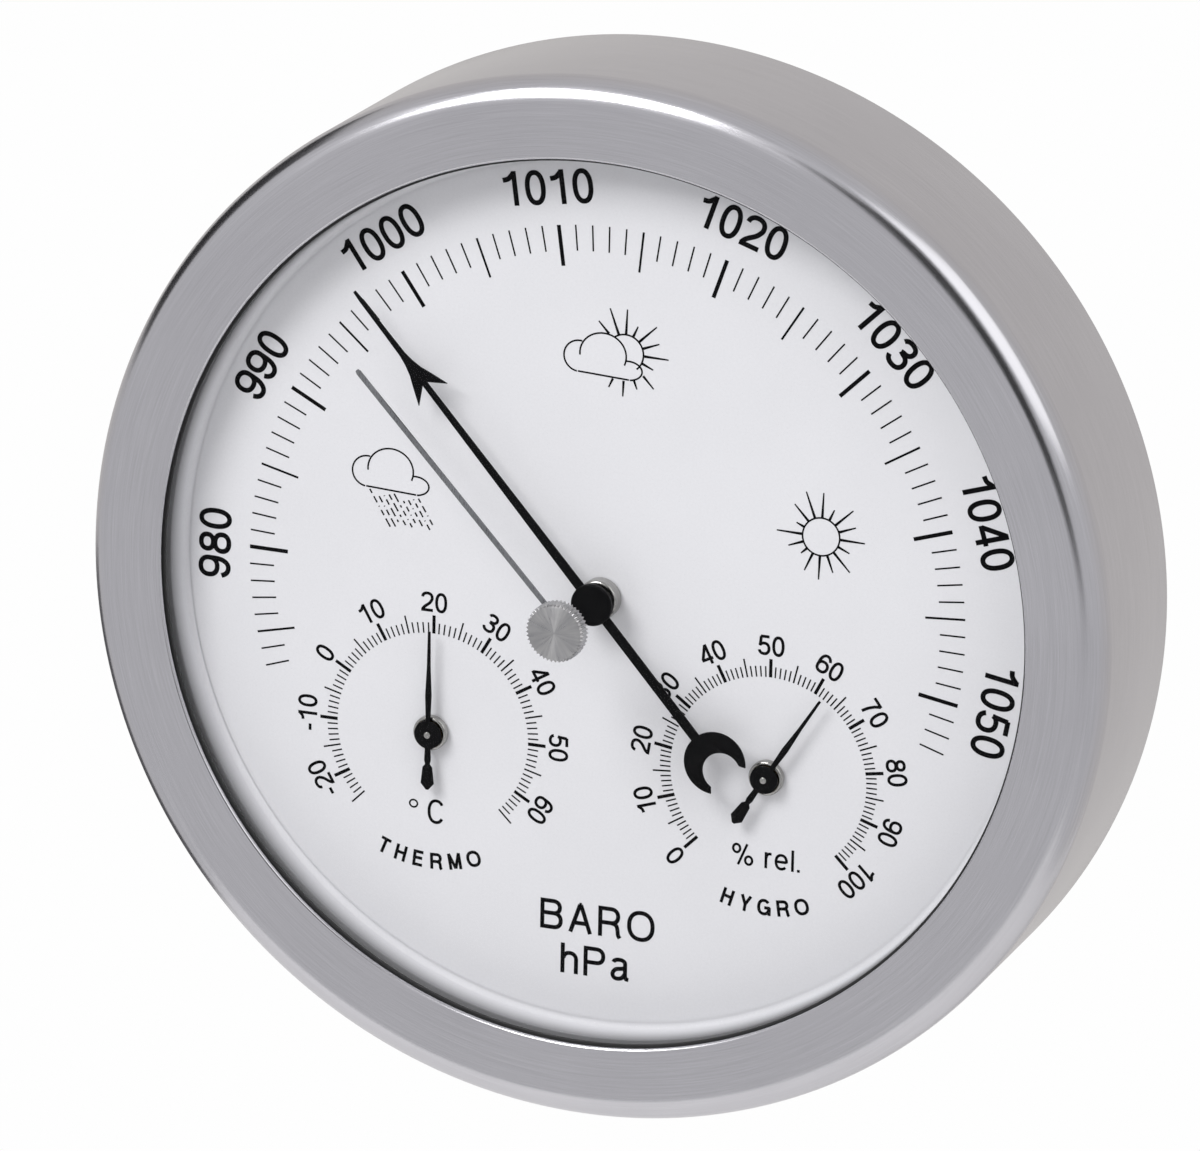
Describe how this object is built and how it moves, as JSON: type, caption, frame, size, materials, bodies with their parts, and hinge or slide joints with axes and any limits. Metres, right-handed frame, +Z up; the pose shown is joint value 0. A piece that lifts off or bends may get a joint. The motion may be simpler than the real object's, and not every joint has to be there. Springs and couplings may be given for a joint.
{
  "type": "aneroid barometer",
  "caption": "Round wall barometer in a brushed steel case, with a domed window, set hand and knob, and a thermometer and hygrometer in the dial.",
  "frame": {"origin": "centre of the rear face that lies against the wall, on the axis of the round case", "axes": "+Z up with the 1013 mark at the top, -Y out of the dial towards the reader, +Y into the wall"},
  "size_m": [0.2, 0.0556, 0.2],
  "materials": {
    "case_steel": "stainless sheet, brushed round the ring and along the wall",
    "gasket_rubber": "matt black rubber",
    "window_glass": "clear pressed glass",
    "white_plastic": "white moulded plastic",
    "dial_enamel": "satin white, printed black",
    "black_plastic": "fine-grained black moulding",
    "plain_steel": "bright zinc-plated steel",
    "screw_steel": "zinc-plated screws",
    "bright_nickel": "bright nickel plate",
    "black_paint": "satin black paint",
    "brass": "machined brass",
    "capsule_metal": "rolled nickel silver",
    "knob_metal": "turned face, knurled edge",
    "hand_steel": "bright strip",
    "bimetal": "rolled bimetal strip",
    "coil_film": "amber moisture-sensitive strip"
  },
  "bodies": {
    "case": {"case_shell": "case_steel", "window_gasket": "gasket_rubber", "window": "window_glass", "inner_ring": "white_plastic", "dial_plate": "dial_enamel", "dial_seat": "black_plastic", "cover_sleeve": "black_plastic", "back_cover": "black_plastic", "hanger_plate": "plain_steel", "hanger_rivet_1": "plain_steel", "hanger_rivet_2": "plain_steel", "cover_screw_1": "screw_steel", "cover_screw_2": "screw_steel", "cover_screw_3": "screw_steel", "cover_screw_4": "screw_steel", "centre_bush": "bright_nickel", "centre_nut": "bright_nickel", "hairspring": "brass", "front_plate": "brass", "base_plate": "brass", "pillar_1": "brass", "pillar_2": "brass", "pillar_3": "brass", "carrier_spring": "plain_steel", "carrier_screw": "screw_steel", "capsule_lower": "capsule_metal", "rocker_post_outer": "brass", "rocker_post_inner": "brass", "sector_stud": "plain_steel", "set_bush": "brass", "thermometer_can": "brass", "thermometer_ferrule": "bright_nickel", "thermometer_coil": "bimetal", "hygrometer_can": "brass", "hygrometer_ferrule": "bright_nickel", "hygrometer_coil": "coil_film"},
    "pointer": {"main_pointer": "black_paint", "pointer_hub": "black_paint", "pointer_arbor": "plain_steel", "arbor_pinion": "brass"},
    "sector": {"sector_gear": "brass", "sector_pin": "plain_steel"},
    "rocker": {"rocking_shaft": "plain_steel", "rocker_arm": "brass", "rocker_finger": "brass"},
    "capsule_top": {"capsule_upper": "capsule_metal", "capsule_stud": "brass"},
    "thermometer_pointer": {"thermometer_arbor": "bright_nickel", "thermometer_hand": "black_paint"},
    "hygrometer_pointer": {"hygrometer_arbor": "bright_nickel", "hygrometer_hand": "black_paint"},
    "set_pointer": {"set_knob": "knob_metal", "set_shaft": "knob_metal", "set_hand": "hand_steel"},
    "adjuster": {"adjusting_screw": "brass"}
  },
  "joints": [
    {"name": "pointer_turn", "type": "hinge", "parent": "case", "child": "pointer", "pos_m": [0, 0, 0], "axis": [0, 1, 0], "range_deg": [-66.42, 149.58], "stiffness_Nm_per_rad": 0.01},
    {"name": "sector_turn", "type": "hinge", "parent": "case", "child": "sector", "pos_m": [-0.02041, 0, -0.004], "axis": [0, 1, 0], "range_deg": [-12.77, 5.83]},
    {"name": "rocker_turn", "type": "hinge", "parent": "case", "child": "rocker", "pos_m": [0, -0.0167, -0.004], "axis": [-1, 0, 0], "range_deg": [-3.82, 8.23]},
    {"name": "capsule_travel", "type": "slide", "parent": "case", "child": "capsule_top", "axis": [0, 1, 0], "range_m": [-0.000266, 0.000574]},
    {"name": "thermometer_turn", "type": "hinge", "parent": "case", "child": "thermometer_pointer", "pos_m": [-0.03335, 0, -0.0305], "axis": [0, 1, 0], "range_deg": [-135, 135], "stiffness_Nm_per_rad": 0.0002},
    {"name": "hygrometer_turn", "type": "hinge", "parent": "case", "child": "hygrometer_pointer", "pos_m": [0.03335, 0, -0.0305], "axis": [0, 1, 0], "range_deg": [-167.4, 102.6], "stiffness_Nm_per_rad": 0.0002},
    {"name": "set_hand_turn", "type": "hinge", "parent": "case", "child": "set_pointer", "pos_m": [0, 0, 0], "axis": [0, 1, 0], "continuous": true},
    {"name": "adjusting_turn", "type": "hinge", "parent": "case", "child": "adjuster", "pos_m": [0, 0, -0.016], "axis": [0, 1, 0], "range_deg": [-360, 360]}
  ],
  "couplings": [
    {"joint": "sector_turn", "follows": "pointer_turn", "ratio": -0.083333},
    {"joint": "rocker_turn", "follows": "pointer_turn", "ratio": 0.053052},
    {"joint": "capsule_travel", "follows": "pointer_turn", "m_per_rad": 0.00021221}
  ]
}
